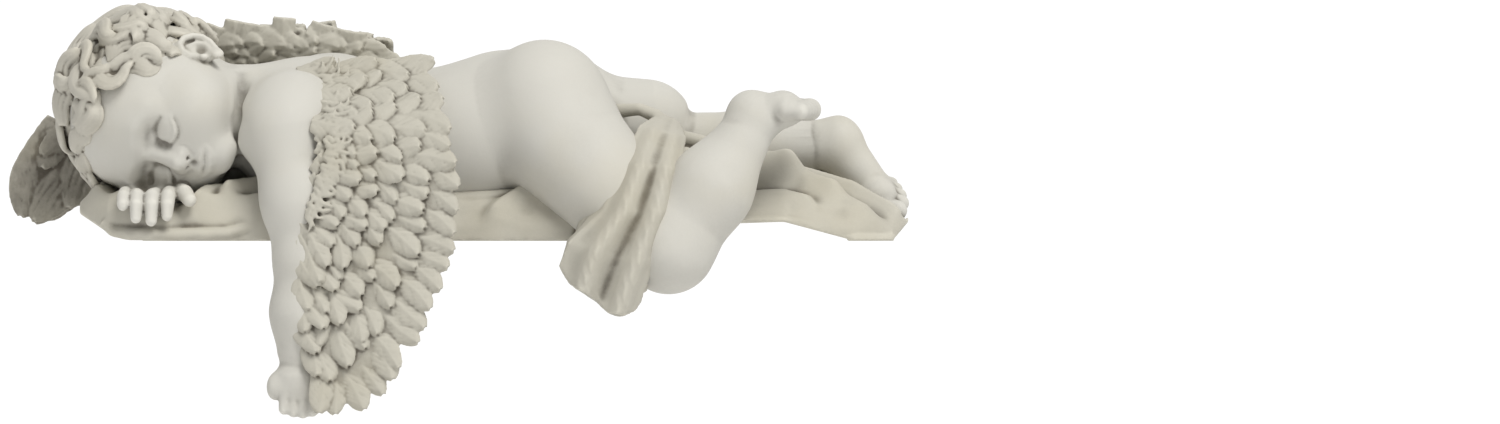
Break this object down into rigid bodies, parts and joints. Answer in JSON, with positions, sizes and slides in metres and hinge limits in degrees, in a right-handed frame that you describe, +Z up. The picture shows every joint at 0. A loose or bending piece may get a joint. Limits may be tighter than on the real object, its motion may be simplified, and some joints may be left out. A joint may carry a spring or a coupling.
{
  "type": "sleeping angel shelf statue",
  "caption": "Cast stone-resin cherub asleep on a cloth, one arm and one feathered wing hanging over the shelf's edge.",
  "frame": {"origin": "on the flat underside, at the level of the shelf's top, 22 mm behind the shelf's front edge", "axes": "+Z up, +X along the figure from head to feet, -Y towards the front where the arm and wing hang"},
  "size_m": [0.3344, 0.107, 0.1527],
  "materials": {
    "stone_resin": "matte"
  },
  "bodies": {
    "root": {"sleeping_angel": "stone_resin"}
  },
  "joints": []
}
